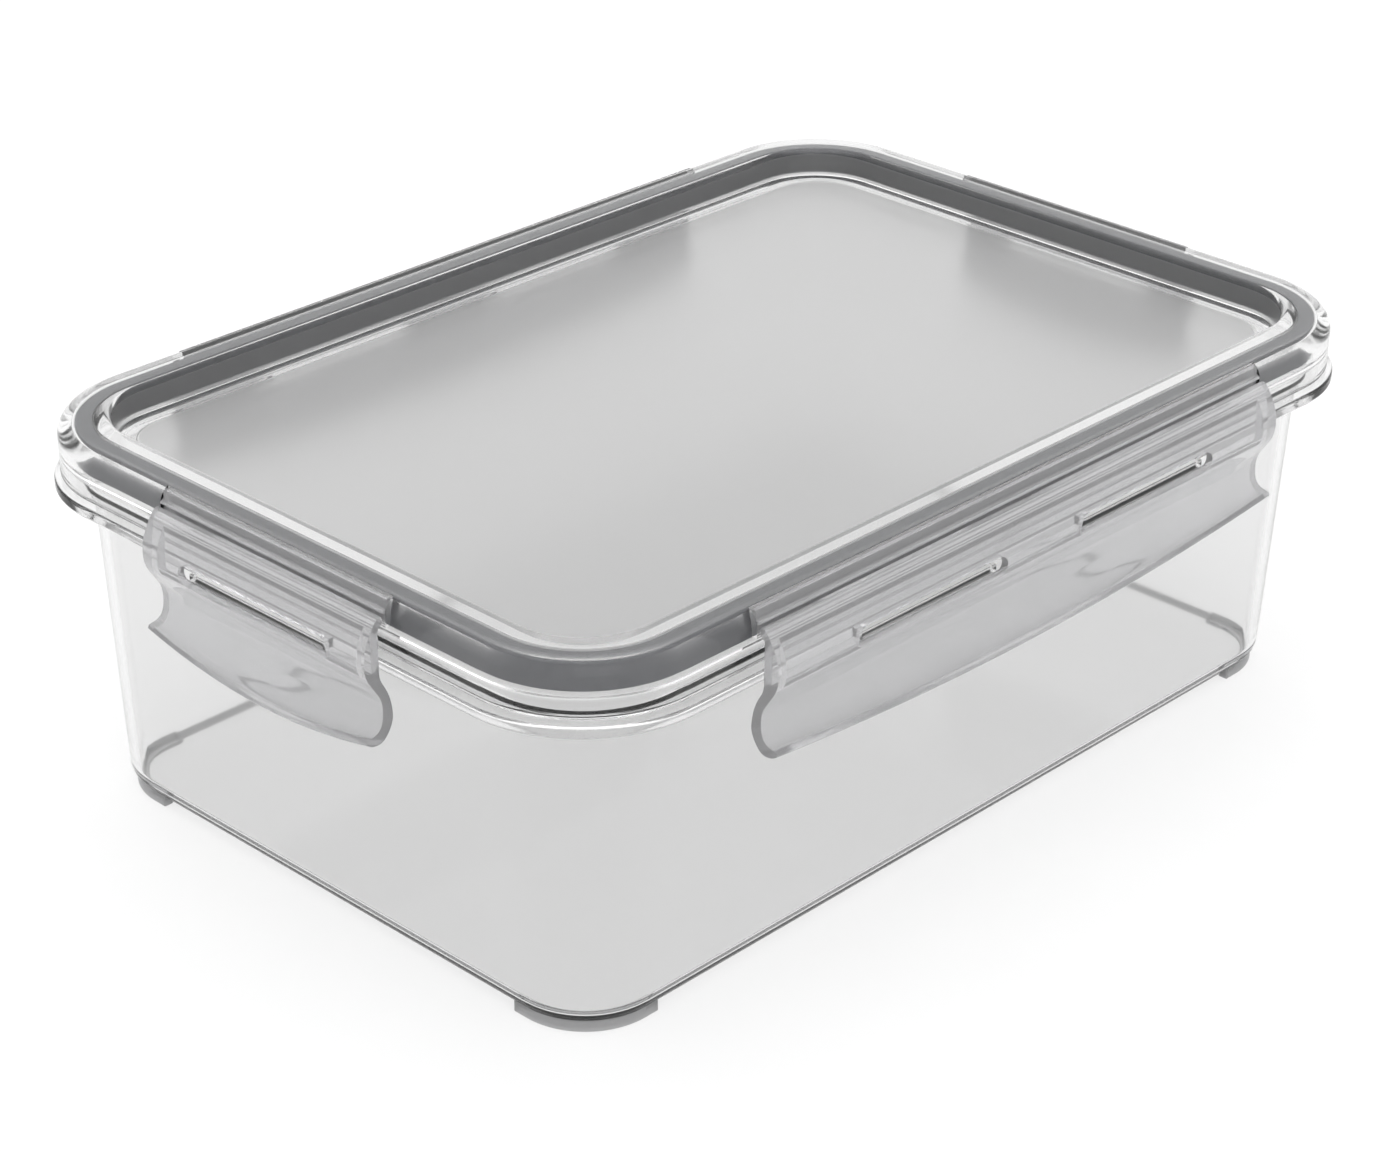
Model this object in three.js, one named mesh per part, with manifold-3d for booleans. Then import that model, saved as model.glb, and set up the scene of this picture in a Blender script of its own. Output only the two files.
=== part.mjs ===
// Rectangular snap-lid food container: tub, lid, sealing gasket and four hinged latches.
// Millimetres, +Z up. Origin: middle of the footprint, on the surface the tub stands on.
// X runs along the long side and Y along the short side.

import * as THREE from 'three';
import * as BufferGeometryUtils from 'three/addons/utils/BufferGeometryUtils.js';
import Module from 'manifold-3d';

const wasm = await Module();
wasm.setup();

// ---- Driving dimensions -------------------------------------------------------------

// Overall outline. Every other outline is this one, moved inwards by an inset.
const LENGTH = 230;
const WIDTH = 158.7;
const CORNER_RADIUS = 26.3;
const HEIGHT = 80;
const CORNER_STEPS = 6;

// Gap between pieces that touch on the real object.
const GAP = 0.3;

// Tub
const FOOT_HEIGHT = 1;
const FOOT_INSET = 11.2;
const FOOT_WIDTH = 2.5;
const FOOT_TAIL = 3;
const TUB_WALL = 1.8;
const TUB_DRAFT = 0.05;
const TUB_WALL_INSET = 7;
const BASE_FILLET = 4.5;
const FLANGE_BELOW_TOP = 13.8;
const FLANGE_THICKNESS = 2.4;
const UPSTAND_INSET = 5.4;
const EDGE_ROUND = 0.4;

// Lid
const LID_INSET = 1.2;
const LID_TOP_THICKNESS = 1.6;
const LID_OUTER_FILLET = 3.4;
const LID_INNER_FILLET = 1.2;
const SKIRT_WALL = 1.6;
const SKIRT_CLEARANCE = 0.6;
const INNER_WALL = 3;
const INNER_WALL_DRAFT = 0.2;
const PANEL_DEPTH = 5.8;
const PANEL_THICKNESS = 1.6;
const FIELD_INSET = 16.1;
const FIELD_RISE = 0.3;

// Gasket
const GASKET_INSET = 4.5;
const GASKET_WIDTH = 3.5;
const GASKET_HEIGHT = 4.9;

// Latches: sections are drawn as (out, up), out from the flange edge.
const LONG_LATCH = 144;
const SHORT_LATCH = 60.5;
const HINGE_OUT = -0.35;
const HINGE_BELOW_TOP = 3.1;
const LEAF_BEHIND_LID = 0.6;
const LEAF_WALL = 1.1;
const LEAF_BELOW_TOP = 0.6;
const LEAF_ROUND = 0.5;
const WEB_THICKNESS = 0.75;
const LEAF_DROP = 5.4;
const WEB_OUT = -0.95;
const RIB_OUT = 0.4;
const RIB_LENGTH = 3;
const BARREL_OUT = 3.8;
const BARREL_WALL = 1.5;
const LIP_DROP = 14.2;
const LIP_WALL = 2.2;
const LIP_BOW = 4;

// Lugs on the flange and the slots they hook in
const LUG_LENGTH = 37;
const LUG_OUT = 2.6;
const LUG_HEIGHT = 1.7;
const LUG_CORNER = 1.2;
const SLOT_END_PLAY = 1.75;
const SLOT_BELOW_LUG = 1;
const SLOT_ABOVE_LUG = 1.7;
const LONG_LUG_OFFSET = 31;

// ---- Levels and insets that follow from them ----------------------------------------

const flangeBottom = HEIGHT - FLANGE_BELOW_TOP;
const flangeTop = flangeBottom + FLANGE_THICKNESS;
const skirtBottom = flangeTop + SKIRT_CLEARANCE;
const channelTop = HEIGHT - LID_TOP_THICKNESS;
const gasketTop = channelTop - GAP;
const gasketBottom = gasketTop - GASKET_HEIGHT;
const tubTop = gasketBottom - GAP;
const panelTop = HEIGHT - PANEL_DEPTH;
const panelBottom = panelTop - PANEL_THICKNESS;
const channelOuter = GASKET_INSET - GAP;
const channelInner = GASKET_INSET + GASKET_WIDTH + GAP;
const leafOut = -LID_INSET - LEAF_BEHIND_LID;
const hingeHeight = HEIGHT - HINGE_BELOW_TOP;
const lugBottom = flangeBottom + EDGE_ROUND;
const lugTop = lugBottom + LUG_HEIGHT;

// ---- Helpers ------------------------------------------------------------------------

// A quarter round between two directions, as [inset, height] points. Angles are in
// degrees, 0 pointing inwards (growing inset) and 90 pointing up.
function round(inset, height, radius, from, to, steps = 4) {
  const points = [];
  for (let i = 0; i <= steps; i += 1) {
    const angle = THREE.MathUtils.degToRad(from + (to - from) * i / steps);
    points.push([inset + radius * Math.cos(angle), height + radius * Math.sin(angle)]);
  }
  return points;
}

// A closed mesh with shared vertices and no collapsed triangles.
function weld(geometry) {
  geometry.deleteAttribute('normal');
  geometry.deleteAttribute('uv');
  const merged = BufferGeometryUtils.mergeVertices(geometry, 1e-4);
  const index = merged.index.array;
  const kept = [];
  for (let i = 0; i < index.length; i += 3) {
    const [a, b, c] = index.slice(i, i + 3);
    if (a !== b && b !== c && c !== a) kept.push(a, b, c);
  }
  merged.setIndex(kept);
  return merged;
}

// Carries a section of [inset, height] points round the outline: a lathe whose columns
// move out to the four corner centres, so the straight sides appear between them.
function carryRound(section, closesOnAxis) {
  const points = section.map(([inset, height]) => new THREE.Vector2(CORNER_RADIUS - inset, height));
  if (closesOnAxis) {
    points.unshift(new THREE.Vector2(0, points[0].y));
    points.push(new THREE.Vector2(0, points[points.length - 1].y));
  } else {
    points.push(points[0].clone());
  }
  const columnsPerCorner = CORNER_STEPS + 1;
  const columns = 4 * columnsPerCorner;
  const geometry = new THREE.LatheGeometry(points, columns);
  const position = geometry.attributes.position;
  const centreX = LENGTH / 2 - CORNER_RADIUS;
  const centreY = WIDTH / 2 - CORNER_RADIUS;
  for (let column = 0; column <= columns; column += 1) {
    const place = column % columns;
    const corner = Math.floor(place / columnsPerCorner);
    const angle = (corner + (place % columnsPerCorner) / CORNER_STEPS) * Math.PI / 2;
    const sideX = corner === 0 || corner === 3 ? 1 : -1;
    const sideY = corner < 2 ? 1 : -1;
    points.forEach((point, row) => {
      const vertex = column * points.length + row;
      const onAxis = point.x === 0;
      const x = onAxis ? 0 : sideX * centreX + point.x * Math.cos(angle);
      const y = onAxis ? 0 : sideY * centreY + point.x * Math.sin(angle);
      position.setXYZ(vertex, x, y, point.y);
    });
  }
  return weld(geometry);
}

// An outline of [out, up] points as a shape.
function outline(points) {
  return new THREE.Shape(points.map(([x, y]) => new THREE.Vector2(x, y)));
}

// A bar of the given (out, up) section, centred along local X, with out along local Y.
function bar(points, length, steps = 1) {
  const geometry = new THREE.ExtrudeGeometry(outline(points), { depth: length, steps, bevelEnabled: false });
  geometry.translate(0, 0, -length / 2);
  const outAlongY = new THREE.Matrix4().makeBasis(
    new THREE.Vector3(0, 1, 0),
    new THREE.Vector3(0, 0, 1),
    new THREE.Vector3(1, 0, 0),
  );
  geometry.applyMatrix4(outAlongY);
  return weld(geometry);
}

function toSolid(geometry) {
  const mesh = new wasm.Mesh({
    numProp: 3,
    vertProperties: new Float32Array(geometry.attributes.position.array),
    triVerts: new Uint32Array(geometry.index.array),
  });
  return new wasm.Manifold(mesh);
}

function toGeometry(solid) {
  const mesh = solid.getMesh();
  const geometry = new THREE.BufferGeometry();
  geometry.setAttribute('position', new THREE.BufferAttribute(new Float32Array(mesh.vertProperties), 3));
  geometry.setIndex(new THREE.BufferAttribute(new Uint32Array(mesh.triVerts), 1));
  return geometry;
}

// The four sides: how far each is turned from +Y, how far out its flange edge is, and
// what sits there.
const sides = [
  {
    name: 'front',
    turn: Math.PI,
    edge: WIDTH / 2,
    latch: LONG_LATCH,
    lugs: { lug_front_left: LONG_LUG_OFFSET, lug_front_right: -LONG_LUG_OFFSET },
  },
  {
    name: 'back',
    turn: 0,
    edge: WIDTH / 2,
    latch: LONG_LATCH,
    lugs: { lug_back_left: -LONG_LUG_OFFSET, lug_back_right: LONG_LUG_OFFSET },
  },
  {
    name: 'left',
    turn: Math.PI / 2,
    edge: LENGTH / 2,
    latch: SHORT_LATCH,
    lugs: { lug_left: 0 },
  },
  {
    name: 'right',
    turn: -Math.PI / 2,
    edge: LENGTH / 2,
    latch: SHORT_LATCH,
    lugs: { lug_right: 0 },
  },
];

// Moves a geometry drawn at the flange edge of the +Y side to the given side.
function toSide(geometry, side) {
  geometry.translate(0, side.edge, 0);
  geometry.rotateZ(side.turn);
  return geometry;
}

// ---- Tub ----------------------------------------------------------------------------

// Inset of the tub's outer wall at a height.
function wallInset(height) {
  return TUB_WALL_INSET + TUB_DRAFT * (flangeBottom - height);
}

function tubSection() {
  const filletTop = FOOT_HEIGHT + BASE_FILLET;
  const filletInset = wallInset(filletTop) + BASE_FILLET;
  const lean = THREE.MathUtils.radToDeg(Math.atan(TUB_DRAFT));
  const topRound = TUB_WALL / 3;
  return [
    ...round(filletInset, filletTop, BASE_FILLET, 270, 180 + lean),
    [TUB_WALL_INSET, flangeBottom],
    [EDGE_ROUND, flangeBottom],
    [0, flangeBottom + EDGE_ROUND],
    [0, flangeTop - EDGE_ROUND],
    [EDGE_ROUND, flangeTop],
    [UPSTAND_INSET, flangeTop],
    [UPSTAND_INSET, tubTop - topRound],
    [UPSTAND_INSET + topRound, tubTop],
    [UPSTAND_INSET + TUB_WALL - topRound, tubTop],
    [UPSTAND_INSET + TUB_WALL, tubTop - topRound],
    [UPSTAND_INSET + TUB_WALL, flangeTop],
    [TUB_WALL_INSET + TUB_WALL, flangeBottom],
    ...round(filletInset, filletTop, BASE_FILLET - TUB_WALL, 180 + lean, 270),
  ];
}

// Foot under one corner: an arc that follows the wall, with a short straight tail at each end.
function foot(corner) {
  const outer = CORNER_RADIUS - FOOT_INSET;
  const inner = outer - FOOT_WIDTH;
  const shape = new THREE.Shape();
  shape.moveTo(outer, -FOOT_TAIL);
  shape.absarc(0, 0, outer, 0, Math.PI / 2, false);
  shape.lineTo(-FOOT_TAIL, outer);
  shape.lineTo(-FOOT_TAIL, inner);
  shape.absarc(0, 0, inner, Math.PI / 2, 0, true);
  shape.lineTo(inner, -FOOT_TAIL);
  const depth = FOOT_HEIGHT + TUB_WALL;
  const geometry = new THREE.ExtrudeGeometry(shape, {
    depth,
    bevelEnabled: false,
    curveSegments: CORNER_STEPS,
  });
  geometry.rotateZ(corner * Math.PI / 2);
  const sideX = corner === 0 || corner === 3 ? 1 : -1;
  const sideY = corner < 2 ? 1 : -1;
  geometry.translate(
    sideX * (LENGTH / 2 - CORNER_RADIUS),
    sideY * (WIDTH / 2 - CORNER_RADIUS),
    0,
  );
  return weld(geometry);
}

// Locking lug at the flange edge, with rounded outer corners. It is moulded with the tub,
// and is a solid of its own so that the flaps stay free to turn past it.
function lug(side, along) {
  const half = LUG_LENGTH / 2;
  const shape = new THREE.Shape();
  shape.moveTo(-half, GAP);
  shape.lineTo(half, GAP);
  shape.absarc(half - LUG_CORNER, LUG_OUT - LUG_CORNER, LUG_CORNER, 0, Math.PI / 2, false);
  shape.absarc(LUG_CORNER - half, LUG_OUT - LUG_CORNER, LUG_CORNER, Math.PI / 2, Math.PI, false);
  const geometry = new THREE.ExtrudeGeometry(shape, {
    depth: LUG_HEIGHT,
    bevelEnabled: false,
    curveSegments: 3,
  });
  geometry.translate(along, 0, lugBottom);
  return toSide(weld(geometry), side);
}

function tubGeometry() {
  let solid = toSolid(carryRound(tubSection(), true));
  for (let corner = 0; corner < 4; corner += 1) {
    solid = solid.add(toSolid(foot(corner)));
  }
  return toGeometry(solid);
}

// ---- Lid ----------------------------------------------------------------------------

function lidSection() {
  const channelMouth = tubTop;
  const skirtInner = LID_INSET + SKIRT_WALL;
  const innerFace = channelInner + INNER_WALL;
  const wallFoot = innerFace + INNER_WALL_DRAFT * PANEL_DEPTH;
  return [
    [wallFoot, panelBottom],
    [channelInner, panelBottom],
    [channelInner, channelTop],
    [channelOuter, channelTop],
    [channelOuter, channelMouth],
    [skirtInner, channelMouth - EDGE_ROUND],
    [skirtInner, skirtBottom],
    [LID_INSET, skirtBottom],
    ...round(LID_INSET + LID_OUTER_FILLET, HEIGHT - LID_OUTER_FILLET, LID_OUTER_FILLET, 180, 90),
    ...round(innerFace - LID_INNER_FILLET, HEIGHT - LID_INNER_FILLET, LID_INNER_FILLET, 90, 0, 3),
    [wallFoot, panelTop],
    [FIELD_INSET - FIELD_RISE, panelTop],
    [FIELD_INSET, panelTop + FIELD_RISE],
  ];
}

// Seat cut in the rim for a latch's fixed leaf.
function leafSeat(side) {
  const clear = 5;
  const back = leafOut - LEAF_WALL - GAP;
  const floor = HEIGHT - LEAF_DROP - GAP;
  const seat = bar([
    [back, floor],
    [clear, floor],
    [clear, HEIGHT + clear],
    [back, HEIGHT + clear],
  ], side.latch + 2 * GAP);
  return toSide(seat, side);
}

function lidGeometry() {
  let solid = toSolid(carryRound(lidSection(), true));
  sides.forEach((side) => {
    solid = solid.subtract(toSolid(leafSeat(side)));
  });
  return toGeometry(solid);
}

// ---- Gasket -------------------------------------------------------------------------

function gasketSection() {
  const outer = GASKET_INSET;
  const inner = GASKET_INSET + GASKET_WIDTH;
  return [
    [outer, gasketBottom + EDGE_ROUND],
    [outer, gasketTop - EDGE_ROUND],
    [outer + EDGE_ROUND, gasketTop],
    [inner - EDGE_ROUND, gasketTop],
    [inner, gasketTop - EDGE_ROUND],
    [inner, gasketBottom + EDGE_ROUND],
    [inner - EDGE_ROUND, gasketBottom],
    [outer + EDGE_ROUND, gasketBottom],
  ];
}

// ---- Latches ------------------------------------------------------------------------

// Fixed leaf: a strip set into the rim's outer edge, which carries the thin hinge web.
function leafSection() {
  const top = HEIGHT - LEAF_BELOW_TOP;
  const bottom = HEIGHT - LEAF_DROP;
  const back = leafOut - LEAF_WALL;
  const webTop = hingeHeight + WEB_THICKNESS;
  return [
    [back, bottom],
    [leafOut, bottom],
    [leafOut, hingeHeight],
    [WEB_OUT, hingeHeight],
    [WEB_OUT, hingeHeight + WEB_THICKNESS / 2],
    [leafOut, webTop],
    [leafOut, top - LEAF_ROUND],
    [leafOut - LEAF_ROUND / 3, top - LEAF_ROUND / 3],
    [leafOut - LEAF_ROUND, top],
    [back, top],
  ];
}

// Flap: a barrel that covers hinge and lugs, then a lip that curves in under the flange
// and out again to give the finger a hold.
function flapSection() {
  const top = hingeHeight - GAP;
  const neck = flangeBottom - 3.9;
  const tip = flangeBottom - LIP_DROP + 1.4;
  return [
    [HINGE_OUT - 0.25, top - 0.1],
    [HINGE_OUT - 0.25, top - BARREL_WALL],
    [RIB_OUT, top - BARREL_WALL - 0.8],
    [RIB_OUT, flangeBottom - BARREL_WALL],
    [-1.4, neck - 0.6],
    [-2.4, neck - 4],
    [-2.4, neck - 6.6],
    [-1.2, neck - 9],
    [0.4, flangeBottom - LIP_DROP],
    [2.5, flangeBottom - LIP_DROP + 0.2],
    [3.8, tip - 0.4],
    [3.6, tip + 0.4],
    [1.2, flangeBottom - LIP_DROP + LIP_WALL],
    [0.05, neck - 6.6],
    [-0.2, neck - 4],
    [0.1, neck - 1.6],
    [1.7, neck + 0.8],
    [3.3, neck + 3.3],
    [BARREL_OUT, flangeBottom + 1.8],
    [BARREL_OUT - 0.3, flangeBottom + 5.1],
    [BARREL_OUT - 1.5, top - 2.7],
    [0.95, top - 0.6],
    [0.1, top],
  ];
}

// Hollow behind the barrel, between the two end ribs.
function flapHollow(length) {
  const top = hingeHeight - GAP;
  const inner = BARREL_OUT - BARREL_WALL;
  return bar([
    [-3, lugBottom - SLOT_BELOW_LUG - 0.6],
    [1.1, lugBottom - SLOT_BELOW_LUG - 0.6],
    [inner - 0.3, lugBottom - SLOT_BELOW_LUG + 0.6],
    [inner, lugTop - 0.6],
    [inner - 0.3, lugTop + 2.4],
    [RIB_OUT, top - BARREL_WALL - 1],
    [-3, top - BARREL_WALL - 1],
  ], length - 2 * RIB_LENGTH);
}

// Slot with round ends for one lug, cut through the barrel's outer wall.
function flapSlot(along) {
  const bottom = lugBottom - SLOT_BELOW_LUG;
  const top = lugTop + SLOT_ABOVE_LUG;
  const radius = (top - bottom) / 2;
  const middle = (top + bottom) / 2;
  const half = LUG_LENGTH / 2 + SLOT_END_PLAY - radius;
  const shape = new THREE.Shape();
  shape.absarc(half, middle, radius, -Math.PI / 2, Math.PI / 2, false);
  shape.absarc(-half, middle, radius, Math.PI / 2, 3 * Math.PI / 2, false);
  const geometry = new THREE.ExtrudeGeometry(shape, {
    depth: 2 * BARREL_OUT,
    bevelEnabled: false,
    curveSegments: 6,
  });
  geometry.rotateX(Math.PI / 2);
  geometry.translate(along, 2 * BARREL_OUT + RIB_OUT, 0);
  return weld(geometry);
}

// Lets the lip hang lower towards its middle, as a shallow bow.
function bowLip(geometry, length) {
  const position = geometry.attributes.position;
  const bowTop = flangeBottom - 4;
  const bowBottom = flangeBottom - LIP_DROP;
  for (let i = 0; i < position.count; i += 1) {
    const along = 2 * position.getX(i) / length;
    const down = THREE.MathUtils.clamp((bowTop - position.getZ(i)) / (bowTop - bowBottom), 0, 1);
    position.setZ(i, position.getZ(i) - LIP_BOW * down * (1 - along * along));
  }
  return geometry;
}

function flapGeometry(side) {
  let solid = toSolid(bowLip(bar(flapSection(), side.latch, 12), side.latch));
  solid = solid.subtract(toSolid(flapHollow(side.latch)));
  Object.values(side.lugs).forEach((along) => {
    solid = solid.subtract(toSolid(flapSlot(along)));
  });
  return toGeometry(solid);
}

// ---- Assembly -----------------------------------------------------------------------

function clearPlastic(color) {
  return new THREE.MeshStandardMaterial({
    color,
    roughness: 0.1,
    metalness: 0,
    transparent: true,
    opacity: 0.4,
  });
}

function piece(name, geometry, material) {
  const mesh = new THREE.Mesh(geometry, material);
  mesh.name = name;
  return mesh;
}

const container = new THREE.Group();
container.add(piece('tub', tubGeometry(), clearPlastic(0xe6e8e9)));
container.add(piece('lid', lidGeometry(), clearPlastic(0xd4d6d7)));

const silicone = new THREE.MeshStandardMaterial({ color: 0x5c5d5f, roughness: 0.6, metalness: 0 });
container.add(piece('gasket', carryRound(gasketSection(), false), silicone));

sides.forEach((side) => {
  const latch = new THREE.Group();
  latch.rotation.z = side.turn;
  const leaf = piece(`latch_leaf_${side.name}`, bar(leafSection(), side.latch), clearPlastic(0xb4b6b7));
  const flap = piece(`latch_flap_${side.name}`, flapGeometry(side), clearPlastic(0xc4c6c7));
  leaf.position.y = side.edge;
  flap.position.y = side.edge;
  latch.add(leaf, flap);
  container.add(latch);
  Object.entries(side.lugs).forEach(([name, along]) => {
    container.add(piece(name, lug(side, along), clearPlastic(0xe6e8e9)));
  });
});

export default container;
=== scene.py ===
# Rectangular snap-lid food container: clear tub, clear lid with a frosted field, dark silicone
# gasket and four hinged latches. Metres, +Z up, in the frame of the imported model.

import math

import bpy
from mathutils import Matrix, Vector


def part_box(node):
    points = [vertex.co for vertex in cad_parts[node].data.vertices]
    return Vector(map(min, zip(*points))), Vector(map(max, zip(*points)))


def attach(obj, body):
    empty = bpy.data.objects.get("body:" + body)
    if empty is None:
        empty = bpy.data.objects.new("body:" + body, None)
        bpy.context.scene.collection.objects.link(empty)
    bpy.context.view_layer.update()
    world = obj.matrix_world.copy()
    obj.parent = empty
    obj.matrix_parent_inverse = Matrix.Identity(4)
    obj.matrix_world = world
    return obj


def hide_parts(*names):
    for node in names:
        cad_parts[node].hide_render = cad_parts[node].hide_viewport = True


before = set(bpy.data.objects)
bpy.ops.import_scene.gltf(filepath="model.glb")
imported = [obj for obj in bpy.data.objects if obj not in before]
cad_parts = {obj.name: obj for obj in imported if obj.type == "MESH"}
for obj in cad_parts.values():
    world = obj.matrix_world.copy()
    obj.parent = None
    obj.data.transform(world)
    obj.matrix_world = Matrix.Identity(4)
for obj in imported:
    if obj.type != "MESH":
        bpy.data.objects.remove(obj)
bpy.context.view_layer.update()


# ---- Camera --------------------------------------------------------------------------
# A long lens looks down over the corner between the front and the left side, tipped by
# half a degree, so both faces fall away evenly.

camera_target = Vector((-0.00715, -0.00161, 0.03445))
camera_distance = 0.68511
camera_turn = math.radians(-46.33)
camera_pitch = math.radians(27.39)
camera_tip = math.radians(0.51)

bpy.ops.object.camera_add()
camera = bpy.context.object
camera.name = "camera"
camera.data.lens = 88.3
camera.data.sensor_width = 36
camera.rotation_euler = (math.pi / 2 - camera_pitch, 0, camera_turn)
camera.rotation_euler.rotate_axis("Z", camera_tip)
back = camera.rotation_euler.to_matrix() @ Vector((0, 0, 1))
camera.location = camera_target + camera_distance * back
bpy.context.scene.camera = camera


# ---- Floor and light -----------------------------------------------------------------
# A matt white table lit so evenly that it washes out, with one soft box beside the camera
# and one overhead for gentle highlights.


def linear(hex_colour):
    """An sRGB hex value as linear red, green, blue and alpha."""
    channels = [int(hex_colour[i:i + 2], 16) / 255 for i in (1, 3, 5)]
    return [c / 12.92 if c <= 0.04045 else ((c + 0.055) / 1.055) ** 2.4 for c in channels] + [1.0]


def add_node(tree, kind, inputs=None, **settings):
    """Adds a node with its settings. An input takes a value or another node's output."""
    node = tree.nodes.new(kind)
    for name, value in settings.items():
        setattr(node, name, value)
    for name, value in (inputs or {}).items():
        if isinstance(value, bpy.types.NodeSocket):
            tree.links.new(value, node.inputs[name])
        else:
            node.inputs[name].default_value = value
    return node


def new_material(name):
    """An empty node material and its tree."""
    material = bpy.data.materials.new(name)
    material.use_nodes = True
    material.node_tree.nodes.clear()
    return material, material.node_tree


def white_laminate():
    """Matt white laminate sheet: a pressed film, seen as an even white with a faint mottle."""
    material, tree = new_material("white_laminate")
    place = add_node(tree, "ShaderNodeTexCoord")
    mottle = add_node(tree, "ShaderNodeTexNoise", {"Vector": place.outputs["Object"], "Scale": 40.0})
    tone = add_node(tree, "ShaderNodeMix", {
        "Factor": mottle.outputs["Fac"],
        "A": linear("#8E8E8E"),
        "B": linear("#929292"),
    }, data_type="RGBA")
    shader = add_node(tree, "ShaderNodeBsdfPrincipled", {
        "Base Color": tone.outputs["Result"],
        "Roughness": 0.9,
        "Specular IOR Level": 0.0,
        "Emission Color": linear("#FFFFFF"),
        "Emission Strength": 0.7,
    })
    add_node(tree, "ShaderNodeOutputMaterial", {"Surface": shader.outputs[0]})
    return material


bpy.ops.mesh.primitive_plane_add(size=8)
table = bpy.context.object
table.name = "table"
table.data.materials.append(white_laminate())

world = bpy.data.worlds.new("studio")
world.use_nodes = True
bpy.context.scene.world = world
world.node_tree.nodes["Background"].inputs["Color"].default_value = linear("#FFFFFF")
world.node_tree.nodes["Background"].inputs["Strength"].default_value = 1.15
bpy.context.scene.view_settings.view_transform = "Standard"
bpy.context.scene.cycles.transparent_max_bounces = 16
bpy.context.scene.cycles.transmission_bounces = 48
bpy.context.scene.cycles.max_bounces = 48


def soft_box(name, place, width, height, power):
    """A soft box at a place, facing the container."""
    bpy.ops.object.light_add(type="AREA", location=place)
    box = bpy.context.object
    box.name = name
    box.data.shape = "RECTANGLE"
    box.data.size = width
    box.data.size_y = height
    box.data.energy = power
    box.rotation_euler = (Vector(place) - camera_target).to_track_quat("Z", "Y").to_euler()


soft_box("key_box", (-0.9, -1.3, 0.9), 1.0, 1.6, 6)
soft_box("top_box", (0.2, 0.5, 1.6), 1.8, 1.8, 8)


# ---- Tub -----------------------------------------------------------------------------
# The open box that holds the food, injection moulded in clear polypropylene about 1.8 mm
# thick. A flange runs round it below the rim, with a lug for each slot of the latches.

mm = 0.001
_, tub_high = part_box("tub")
_, lid_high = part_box("lid")
gasket_low, gasket_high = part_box("gasket")
lid_margin = 1.2 * mm
flange_x = lid_high[0] + lid_margin
flange_y = lid_high[1] + lid_margin
corner_radius = 26.3 * mm
corner_x = flange_x - corner_radius
corner_y = flange_y - corner_radius
corner_steps = 20


def select_where(test):
    """In edit mode, selects only the vertices whose place passes the test."""
    bpy.ops.mesh.select_all(action="DESELECT")
    bpy.ops.object.mode_set(mode="OBJECT")
    for vertex in bpy.context.object.data.vertices:
        vertex.select = test(vertex.co)
    bpy.ops.object.mode_set(mode="EDIT")
    bpy.ops.mesh.select_mode(type="VERT")


def draw_outline(name, points, closed):
    """Draws a line through (place, rounding) points by extruding one vertex, and rounds
    each corner. Leaves the line in edit mode, all selected."""
    bpy.ops.object.select_all(action="DESELECT")
    bpy.ops.mesh.primitive_plane_add(size=mm, location=points[0][0])
    bpy.ops.object.transform_apply(location=True)
    drawing = bpy.context.object
    drawing.name = name
    bpy.ops.object.mode_set(mode="EDIT")
    bpy.ops.mesh.merge(type="CENTER")
    for (start, _), (end, _) in zip(points, points[1:]):
        step = Vector(end) - Vector(start)
        bpy.ops.mesh.extrude_region_move(TRANSFORM_OT_translate={"value": step})
    if closed:
        first = Vector(points[0][0])
        last = Vector(points[-1][0])
        select_where(lambda co: (co - first).length < 1e-6 or (co - last).length < 1e-6)
        bpy.ops.mesh.edge_face_add()
    for place, rounding in points:
        if rounding:
            corner = Vector(place)
            select_where(lambda co: (co - corner).length < 1e-6)
            bpy.ops.mesh.bevel(affect="VERTICES", offset=rounding, segments=6 if rounding < 2 * mm else 12)
    bpy.ops.mesh.select_all(action="SELECT")
    return drawing


def apply_modifier(kind, **settings):
    """Adds a modifier to the active object with its settings, and applies it."""
    piece = bpy.context.object
    bpy.ops.object.modifier_add(type=kind)
    modifier = piece.modifiers[-1]
    for name, value in settings.items():
        setattr(modifier, name, value)
    bpy.ops.object.modifier_apply(modifier=modifier.name)


def carry_round(name, section, closed=False):
    """Carries a section of (inset, height, rounding) points in millimetres round the
    container: spun about one corner, drawn out along both sides and mirrored."""
    points = [((flange_x - inset * mm, corner_y, height * mm), rounding * mm)
              for inset, height, rounding in section]
    ring = draw_outline(name, points, closed)
    bpy.ops.mesh.spin(steps=corner_steps, angle=-math.pi / 2, center=(corner_x, corner_y, 0), axis=(0, 0, 1))
    bpy.ops.mesh.select_all(action="DESELECT")
    select_where(lambda co: abs(co.y - corner_y) < 1e-6 and co.x > corner_x)
    bpy.ops.mesh.extrude_region_move(TRANSFORM_OT_translate={"value": (0, -corner_y, 0)})
    select_where(lambda co: abs(co.x - corner_x) < 1e-6 and co.y > corner_y)
    bpy.ops.mesh.extrude_region_move(TRANSFORM_OT_translate={"value": (-corner_x, 0, 0)})
    bpy.ops.object.mode_set(mode="OBJECT")
    apply_modifier("MIRROR", use_axis=(True, True, False), use_clip=True, merge_threshold=1e-6)
    bpy.ops.object.mode_set(mode="EDIT")
    bpy.ops.mesh.select_all(action="SELECT")
    bpy.ops.mesh.remove_doubles(threshold=1e-6)
    return ring


def fill_level(height):
    """In edit mode, closes the open loop at a height and adds a narrow border inside it."""
    select_where(lambda co: abs(co.z - height) < 1e-7 and abs(co.x) < flange_x - open_inset * mm + 1e-6
                 and abs(co.y) < flange_y - open_inset * mm + 1e-6)
    bpy.ops.mesh.edge_face_add()
    bpy.ops.mesh.inset(thickness=0.5 * mm)


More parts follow.
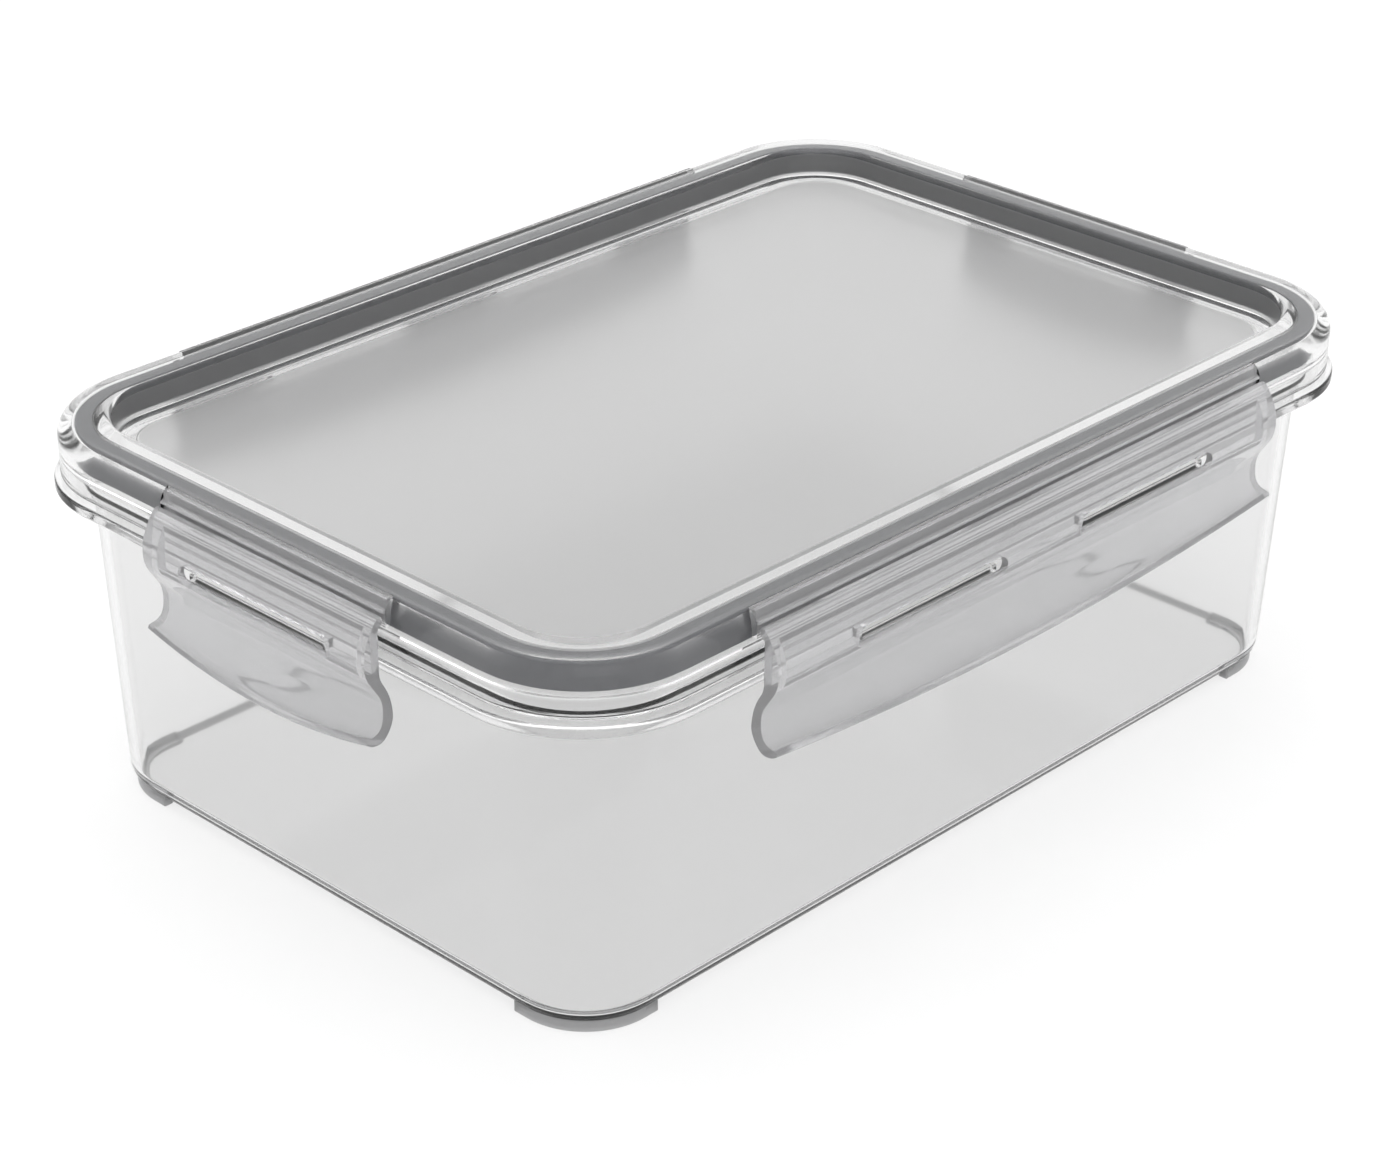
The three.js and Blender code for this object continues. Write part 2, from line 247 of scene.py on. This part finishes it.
open_inset = 20
foot_height = 1.0
wall = 1.8
wall_top_inset = 7
draft = 0.05
base_fillet = 4.5
flange_under = 66.2
flange_top = 68.6
upstand_inset = 5.4
rim_top = tub_high[2] / mm


def wall_inset(height):
    return wall_top_inset + draft * (flange_under - height)


def smooth(angle=35):
    """Shades the active object smooth, with flat faces kept flat."""
    bpy.ops.object.mode_set(mode="OBJECT")
    bpy.ops.object.shade_smooth_by_angle(angle=math.radians(angle))
    apply_modifier("WEIGHTED_NORMAL", weight=90, keep_sharp=True)


tub = carry_round("tub_shell", [
    (open_inset, foot_height, 0),
    (wall_inset(foot_height), foot_height, base_fillet),
    (wall_inset(flange_under), flange_under, 0.8),
    (0, flange_under, 0.7),
    (0, flange_top, 0.7),
    (upstand_inset, flange_top, 0.6),
    (upstand_inset, rim_top, 0.6),
    (upstand_inset + wall, rim_top, 0.6),
    (upstand_inset + wall, flange_top + 0.4, 1.2),
    (wall_inset(flange_under) + wall, flange_under - 0.6, 1.2),
    (wall_inset(foot_height + wall) + wall, foot_height + wall, base_fillet - wall),
    (open_inset, foot_height + wall, 0),
])
fill_level(foot_height * mm)
fill_level((foot_height + wall) * mm)
bpy.ops.mesh.select_all(action="SELECT")
bpy.ops.mesh.normals_make_consistent(inside=False)
smooth()


def bar(name, section, length, steps=1):
    """A bar along X with a section of (outwards, height, rounding) points in millimetres,
    drawn with the flange edge at Y = 0."""
    points = [((-length / 2 * mm, out * mm, height * mm), rounding * mm)
              for out, height, rounding in section]
    made = draw_outline(name, points, closed=True)
    bpy.ops.mesh.edge_face_add()
    for _ in range(steps):
        step = (length / steps * mm, 0, 0)
        bpy.ops.mesh.extrude_region_move(TRANSFORM_OT_translate={"value": step})
    bpy.ops.mesh.select_all(action="SELECT")
    bpy.ops.mesh.normals_make_consistent(inside=False)
    bpy.ops.object.mode_set(mode="OBJECT")
    return made


def put_on_side(piece, side, along=0):
    """Moves a piece drawn at Y = 0 to a side's flange edge, and leaves it at the origin."""
    turn = {"back": 0, "left": 90, "front": 180, "right": 270}[side]
    edge = flange_y if side in ("front", "back") else flange_x
    bpy.ops.object.select_all(action="DESELECT")
    piece.select_set(True)
    bpy.context.view_layer.objects.active = piece
    bpy.ops.object.mode_set(mode="EDIT")
    bpy.ops.mesh.select_all(action="SELECT")
    bpy.ops.transform.translate(value=(along * mm, edge, 0))
    bpy.ops.object.mode_set(mode="OBJECT")
    piece.rotation_euler.z = math.radians(turn)
    bpy.ops.object.transform_apply(rotation=True)


def join_by_boolean(target, tool, operation):
    """Applies a boolean of the tool on the target and deletes the tool."""
    bpy.ops.object.select_all(action="DESELECT")
    target.select_set(True)
    bpy.context.view_layer.objects.active = target
    apply_modifier("BOOLEAN", object=tool, operation=operation, solver="EXACT")
    bpy.data.objects.remove(tool)


bpy.ops.object.mode_set(mode="OBJECT")
lug_names = [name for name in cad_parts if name.startswith("lug")]
lug_root = 0.6 * mm
lug_rounding = 0.35 * mm
for lug_name in lug_names:
    low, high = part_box(lug_name)
    middle = (low + high) / 2
    bpy.ops.object.select_all(action="DESELECT")
    bpy.ops.mesh.primitive_cube_add(size=1, location=middle)
    lug = bpy.context.object
    across = 0 if abs(middle.x) > abs(middle.y) else 1
    lug.scale = high - low
    bpy.ops.object.transform_apply(location=True, scale=True)
    bpy.ops.object.mode_set(mode="EDIT")
    inner_side = -1 if middle[across] > 0 else 1
    inner_edge = low[across] if inner_side < 0 else high[across]
    select_where(lambda co: abs(co[across] - inner_edge) < 1e-6)
    shift = [0, 0, 0]
    shift[across] = inner_side * lug_root
    bpy.ops.transform.translate(value=shift)
    bpy.ops.mesh.select_all(action="SELECT")
    bpy.ops.mesh.bevel(offset=lug_rounding, segments=3)
    bpy.ops.object.mode_set(mode="OBJECT")
    join_by_boolean(tub, lug, "UNION")

foot_inset = 11.2
foot_width = 2.5
foot_tail = 3 * mm
foot_top = foot_height + wall
foot_middle = foot_inset + foot_width / 2


def foot_point(inset, height):
    return (flange_x - inset * mm, corner_y - foot_tail, height * mm)


foot = draw_outline("foot", [
    (foot_point(foot_inset + foot_width, 0), 0.6 * mm),
    (foot_point(foot_inset, 0), 0.6 * mm),
    (foot_point(foot_inset, foot_top), 0),
    (foot_point(foot_inset + foot_width, foot_top), 0),
], closed=True)
bpy.ops.mesh.edge_face_add()
bpy.ops.mesh.extrude_region_move(TRANSFORM_OT_translate={"value": (0, foot_tail, 0)})
bpy.ops.mesh.spin(steps=corner_steps, angle=-math.pi / 2, center=(corner_x, corner_y, 0), axis=(0, 0, 1))
bpy.ops.mesh.extrude_region_move(TRANSFORM_OT_translate={"value": (-foot_tail, 0, 0)})
bpy.ops.mesh.select_all(action="SELECT")
bpy.ops.mesh.remove_doubles(threshold=1e-6)
bpy.ops.mesh.normals_make_consistent(inside=False)
bpy.ops.object.mode_set(mode="OBJECT")
apply_modifier("MIRROR", use_axis=(True, True, False))
join_by_boolean(tub, foot, "UNION")
smooth()


def clear_polypropylene():
    """Clear random polypropylene, moulded against a polished steel cavity: glass-clear
    with a faint grey body and a slow ripple where the melt has shrunk."""
    material, tree = new_material("clear_polypropylene_moulded")
    place = add_node(tree, "ShaderNodeTexCoord")
    ripple = add_node(tree, "ShaderNodeTexNoise", {
        "Vector": place.outputs["Object"],
        "Scale": 25.0,
        "Detail": 2.0,
    })
    bump = add_node(tree, "ShaderNodeBump", {
        "Height": ripple.outputs["Fac"],
        "Strength": 0.02,
        "Distance": 0.001,
    })
    shader = add_node(tree, "ShaderNodeBsdfPrincipled", {
        "Base Color": linear("#F2F2F2"),
        "Roughness": 0.08,
        "IOR": 1.27,
        "Transmission Weight": 1.0,
        "Normal": bump.outputs["Normal"],
    })
    add_node(tree, "ShaderNodeOutputMaterial", {"Surface": shader.outputs[0]})
    return material


def foot_painted_shade():
    """The same polypropylene where it stands on the table, rougher and less clear. Its grey tone
    is painted shade for the dark that the foot ring shows where it meets the table."""
    material, tree = new_material("polypropylene_foot_painted_shade")
    place = add_node(tree, "ShaderNodeTexCoord")
    grain = add_node(tree, "ShaderNodeTexNoise", {"Vector": place.outputs["Object"], "Scale": 700.0})
    tone = add_node(tree, "ShaderNodeMix", {
        "Factor": grain.outputs["Fac"],
        "A": linear("#9C9C9D"),
        "B": linear("#A4A4A5"),
    }, data_type="RGBA")
    shader = add_node(tree, "ShaderNodeBsdfPrincipled", {
        "Base Color": tone.outputs["Result"],
        "Roughness": 0.3,
        "IOR": 1.27,
        "Transmission Weight": 0.45,
    })
    add_node(tree, "ShaderNodeOutputMaterial", {"Surface": shader.outputs[0]})
    return material


tub_plastic = clear_polypropylene()
tub.data.materials.append(tub_plastic)
tub.data.materials.append(foot_painted_shade())
# The foot ring's faces take the greyed foot material: painted shade where the tub stands.
for polygon in tub.data.polygons:
    centre = polygon.center
    reach = math.hypot(max(abs(centre.x) - corner_x, 0), max(abs(centre.y) - corner_y, 0))
    off_wall = abs(reach - (corner_radius - foot_middle * mm)) < (foot_width / 2 + 0.05) * mm
    if off_wall and centre.z < (foot_height + 1.2) * mm:
        polygon.material_index = 1
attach(tub, "tub")
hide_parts("tub", *lug_names)


# ---- Lid -----------------------------------------------------------------------------
# A shallow clear moulding: a hollow rim that drops over the tub's edge, and a sunk panel
# whose middle field is sandblasted in the mould, so it comes out frosted.

lid_top = lid_high[2] / mm
panel_top = lid_top - 5.8
panel_under = panel_top - 1.6
skirt_bottom = flange_top + 0.6
skirt_outer = 1.2
skirt_inner = 2.8
channel_outer = 4.2
channel_inner = 8.3
channel_top = lid_top - 1.6
inner_face = 11.3
wall_foot = 12.46
field_inset = 16.1
field_rise = 0.3

lid = carry_round("lid_shell", [
    (open_inset, panel_under, 0),
    (channel_inner, panel_under, 0.8),
    (channel_inner, channel_top, 0.5),
    (channel_outer, channel_top, 0.5),
    (channel_outer, rim_top, 0.5),
    (skirt_inner, rim_top - 0.4, 0.4),
    (skirt_inner, skirt_bottom, 0.4),
    (skirt_outer, skirt_bottom, 0.5),
    (skirt_outer, lid_top, 3.4),
    (inner_face, lid_top, 1.2),
    (wall_foot, panel_top, 1.4),
    (field_inset - 0.4, panel_top, 0.2),
    (field_inset, panel_top + field_rise, 0.2),
    (open_inset, panel_top + field_rise, 0),
])
fill_level(panel_under * mm)
fill_level((panel_top + field_rise) * mm)
bpy.ops.mesh.select_all(action="SELECT")
bpy.ops.mesh.normals_make_consistent(inside=False)
bpy.ops.object.mode_set(mode="OBJECT")

gap = 0.3
clear = 5
leaf_out = -1.8
leaf_wall = 1.1
leaf_drop = 5.4
sides = ("front", "back", "left", "right")


def latch_length(side):
    low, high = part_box("latch_flap_" + side)
    return max(high[0] - low[0], high[1] - low[1]) / mm


for side in sides:
    seat = bar("seat", [
        (leaf_out - leaf_wall - gap, lid_top - leaf_drop - gap, 0),
        (clear, lid_top - leaf_drop - gap, 0),
        (clear, lid_top + clear, 0),
        (leaf_out - leaf_wall - gap, lid_top + clear, 0),
    ], latch_length(side) + 2 * gap)
    put_on_side(seat, side)
    join_by_boolean(lid, seat, "DIFFERENCE")
smooth()


def frosted_polypropylene():
    """The same polypropylene against a blasted cavity: a fine even frost that blurs what
    lies behind it."""
    material, tree = new_material("frosted_polypropylene_moulded")
    place = add_node(tree, "ShaderNodeTexCoord")
    grain = add_node(tree, "ShaderNodeTexNoise", {"Vector": place.outputs["Object"], "Scale": 900.0})
    bump = add_node(tree, "ShaderNodeBump", {
        "Height": grain.outputs["Fac"],
        "Strength": 0.05,
        "Distance": 0.0002,
    })
    shader = add_node(tree, "ShaderNodeBsdfPrincipled", {
        "Base Color": linear("#BFBFBF"),
        "Roughness": 0.3,
        "IOR": 1.27,
        "Transmission Weight": 0.85,
        "Normal": bump.outputs["Normal"],
    })
    add_node(tree, "ShaderNodeOutputMaterial", {"Surface": shader.outputs[0]})
    return material


lid.data.materials.append(tub_plastic)
lid.data.materials.append(frosted_polypropylene())
field_level = (panel_top + field_rise) * mm
for polygon in lid.data.polygons:
    centre = polygon.center
    outside = max(abs(centre.x) - flange_x, abs(centre.y) - flange_y)
    reach = math.hypot(max(abs(centre.x) - corner_x, 0), max(abs(centre.y) - corner_y, 0))
    inset = min(-outside, corner_radius - reach) / mm
    on_inner_wall = inner_face - 0.3 < inset < wall_foot + 0.2
    below_edge = panel_top + 0.6 < centre.z / mm < lid_top - 0.8
    on_field = abs(centre.z - field_level) < 1e-6
    if on_field or (on_inner_wall and below_edge):
        polygon.material_index = 1
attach(lid, "lid")
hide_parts("lid")


# ---- Gasket --------------------------------------------------------------------------
# A closed ring of dark grey silicone, pressed into the rim's hollow. The tub's edge seats
# against its underside.

gasket_inset = (flange_x - gasket_high[0]) / mm
gasket_bottom = gasket_low[2] / mm
gasket_top = gasket_high[2] / mm
gasket_width = 3.5
gasket = carry_round("gasket_ring", [
    (gasket_inset, gasket_bottom, 0.5),
    (gasket_inset, gasket_top, 0.5),
    (gasket_inset + gasket_width, gasket_top, 0.5),
    (gasket_inset + gasket_width, gasket_bottom, 0.5),
], closed=True)
bpy.ops.mesh.select_all(action="SELECT")
bpy.ops.mesh.normals_make_consistent(inside=False)
smooth()


def satin_silicone():
    """Dark grey silicone rubber, compression moulded: satin, with a fine dusty grain."""
    material, tree = new_material("dark_silicone_moulded")
    place = add_node(tree, "ShaderNodeTexCoord")
    dust = add_node(tree, "ShaderNodeTexNoise", {
        "Vector": place.outputs["Object"],
        "Scale": 600.0,
        "Detail": 4.0,
    })
    tone = add_node(tree, "ShaderNodeMix", {
        "Factor": dust.outputs["Fac"],
        "A": linear("#67686B"),
        "B": linear("#737477"),
    }, data_type="RGBA")
    shader = add_node(tree, "ShaderNodeBsdfPrincipled", {
        "Base Color": tone.outputs["Result"],
        "Roughness": 0.55,
        "IOR": 1.41,
    })
    add_node(tree, "ShaderNodeOutputMaterial", {"Surface": shader.outputs[0]})
    return material


gasket.data.materials.append(satin_silicone())
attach(gasket, "lid")
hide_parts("gasket")


# ---- Latches -------------------------------------------------------------------------
# Each latch is one moulding in natural polypropylene: a fixed leaf set into the lid's rim,
# a thin living hinge, and the flap that folds down over the tub's lugs.


def natural_polypropylene():
    """Natural polypropylene, a little cloudy, moulded against polished steel."""
    material, tree = new_material("natural_polypropylene_moulded")
    place = add_node(tree, "ShaderNodeTexCoord")
    cloud = add_node(tree, "ShaderNodeTexNoise", {
        "Vector": place.outputs["Object"],
        "Scale": 90.0,
        "Detail": 2.0,
    })
    tone = add_node(tree, "ShaderNodeMix", {
        "Factor": cloud.outputs["Fac"],
        "A": linear("#D6D6D7"),
        "B": linear("#DCDCDD"),
    }, data_type="RGBA")
    shader = add_node(tree, "ShaderNodeBsdfPrincipled", {
        "Base Color": tone.outputs["Result"],
        "Roughness": 0.06,
        "IOR": 1.25,
        "Transmission Weight": 0.8,
    })
    add_node(tree, "ShaderNodeOutputMaterial", {"Surface": shader.outputs[0]})
    return material


latch_plastic = natural_polypropylene()
hinge_height = lid_top - 3.1
leaf_top = lid_top - 0.6
web_thickness = 0.75
web_out = -0.95
barrel_out = 3.8
barrel_wall = 1.5
rib_out = 0.4
rib_length = 3
lip_bow = 4
lip_drop = 14.2
neck = flange_under - 3.9
flap_top = hinge_height - gap
lip_end = flange_under - lip_drop
slot_low = 65.6
slot_high = 70.0
slot_play = 1.75
slot_rounding = 2.15 * mm


def leaf_piece(side):
    """The fixed leaf: a strip set into the rim's outer edge, with the hinge web on it."""
    web_top = hinge_height + web_thickness
    return bar("leaf_" + side, [
        (leaf_out - leaf_wall, lid_top - leaf_drop, 0.2),
        (leaf_out, lid_top - leaf_drop, 0.3),
        (leaf_out, hinge_height, 0.15),
        (web_out, hinge_height, 0.12),
        (web_out, hinge_height + web_thickness / 2, 0.1),
        (leaf_out, web_top, 0.2),
        (leaf_out, leaf_top, 0.5),
        (leaf_out - leaf_wall, leaf_top, 0.2),
    ], latch_length(side))


def flap_shell(side):
    """The flap before it is cut: a barrel over hinge and lugs, and a lip that curves in
    under the flange and out again, hanging lowest in its middle."""
    length = latch_length(side)
    steps = 24
    shell = bar("flap_" + side, [
        (-0.6, flap_top - 0.1, 0.1),
        (-0.6, flap_top - barrel_wall, 0.2),
        (rib_out, flap_top - barrel_wall - 0.8, 0.4),
        (rib_out, flange_under - barrel_wall, 1.2),
        (-1.4, neck - 0.6, 1.5),
        (-2.4, neck - 4, 1.7),
        (-2.4, neck - 6.6, 1.2),
        (-1.2, neck - 9, 1.2),
        (0.4, lip_end, 0.9),
        (2.5, lip_end + 0.2, 0.6),
        (3.8, lip_end + 1.0, 0.35),
        (3.6, lip_end + 1.8, 0.35),
        (1.2, lip_end + 2.2, 1.0),
        (0.05, neck - 6.6, 1.2),
        (-0.2, neck - 4, 1.2),
        (0.1, neck - 1.6, 1.2),
        (1.7, neck + 0.8, 1.2),
        (3.3, neck + 3.3, 1.2),
        (barrel_out, flange_under + 1.8, 1.2),
        (barrel_out - 0.3, flange_under + 5.1, 1.3),
        (barrel_out - 1.5, flap_top - 2.7, 1.2),
        (0.95, flap_top - 0.6, 0.4),
        (0.1, flap_top, 0.15),
    ], length, steps)
    bow_top = flange_under - 4
    bpy.ops.object.mode_set(mode="EDIT")
    for step in range(steps + 1):
        place = (step / steps - 0.5) * length * mm
        along = 2 * step / steps - 1
        stretch = 1 + lip_bow * (1 - along * along) / (bow_top - lip_end)
        select_where(lambda co: abs(co.x - place) < 1e-6 and co.z < bow_top * mm)
        bpy.ops.transform.resize(value=(1, 1, stretch), center_override=(0, 0, bow_top * mm))
    bpy.ops.object.mode_set(mode="OBJECT")
    return shell


def flap_piece(side):
    """The flap, hollow behind its barrel between two end ribs, with a slot for each lug."""
    length = latch_length(side)
    inner = barrel_out - barrel_wall
    flap = flap_shell(side)
    hollow = bar("hollow", [
        (-3, slot_low - 0.6, 0),
        (1.1, slot_low - 0.6, 0.4),
        (inner - 0.3, slot_low + 0.6, 0.4),
        (inner, slot_high - 2.3, 0.6),
        (inner - 0.3, slot_high + 0.7, 0.6),
        (rib_out, flap_top - barrel_wall - 1, 0.3),
        (-3, flap_top - barrel_wall - 1, 0),
    ], length - 2 * rib_length)
    join_by_boolean(flap, hollow, "DIFFERENCE")
    for lug_name in lug_names:
        if side not in lug_name.split("_")[1]:
            continue
        low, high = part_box(lug_name)
        across = 0 if side in ("front", "back") else 1
        middle = (low[across] + high[across]) / 2
        half = (high[across] - low[across]) / 2 + slot_play * mm
        bpy.ops.object.select_all(action="DESELECT")
        bpy.ops.mesh.primitive_cube_add(size=1, location=(0, 3 * mm, (slot_low + slot_high) / 2 * mm))
        slot = bpy.context.object
        slot.scale = (2 * half, 8 * mm, (slot_high - slot_low) * mm)
        bpy.ops.object.transform_apply(location=True, scale=True)
        bpy.ops.object.mode_set(mode="EDIT")
        bpy.ops.mesh.select_all(action="DESELECT")
        bpy.ops.mesh.select_mode(type="EDGE")
        bpy.ops.object.mode_set(mode="OBJECT")
        for edge in slot.data.edges:
            first, second = (slot.data.vertices[i].co for i in edge.vertices)
            edge.select = abs(first.y - second.y) > mm
        bpy.ops.object.mode_set(mode="EDIT")
        bpy.ops.mesh.bevel(offset=slot_rounding, segments=8)
        bpy.ops.mesh.select_mode(type="VERT")
        bpy.ops.mesh.select_all(action="SELECT")
        sign = {"back": 1, "left": 1, "front": -1, "right": -1}[side]
        bpy.ops.transform.translate(value=(sign * middle, 0, 0))
        bpy.ops.object.mode_set(mode="OBJECT")
        join_by_boolean(flap, slot, "DIFFERENCE")
    return flap


for side in sides:
    leaf = leaf_piece(side)
    put_on_side(leaf, side)
    smooth()
    leaf.data.materials.append(latch_plastic)
    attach(leaf, "lid")
    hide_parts("latch_leaf_" + side)

    flap = flap_piece(side)
    put_on_side(flap, side)
    smooth()
    flap.data.materials.append(latch_plastic)
    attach(flap, "flap_" + side)
    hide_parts("latch_flap_" + side)
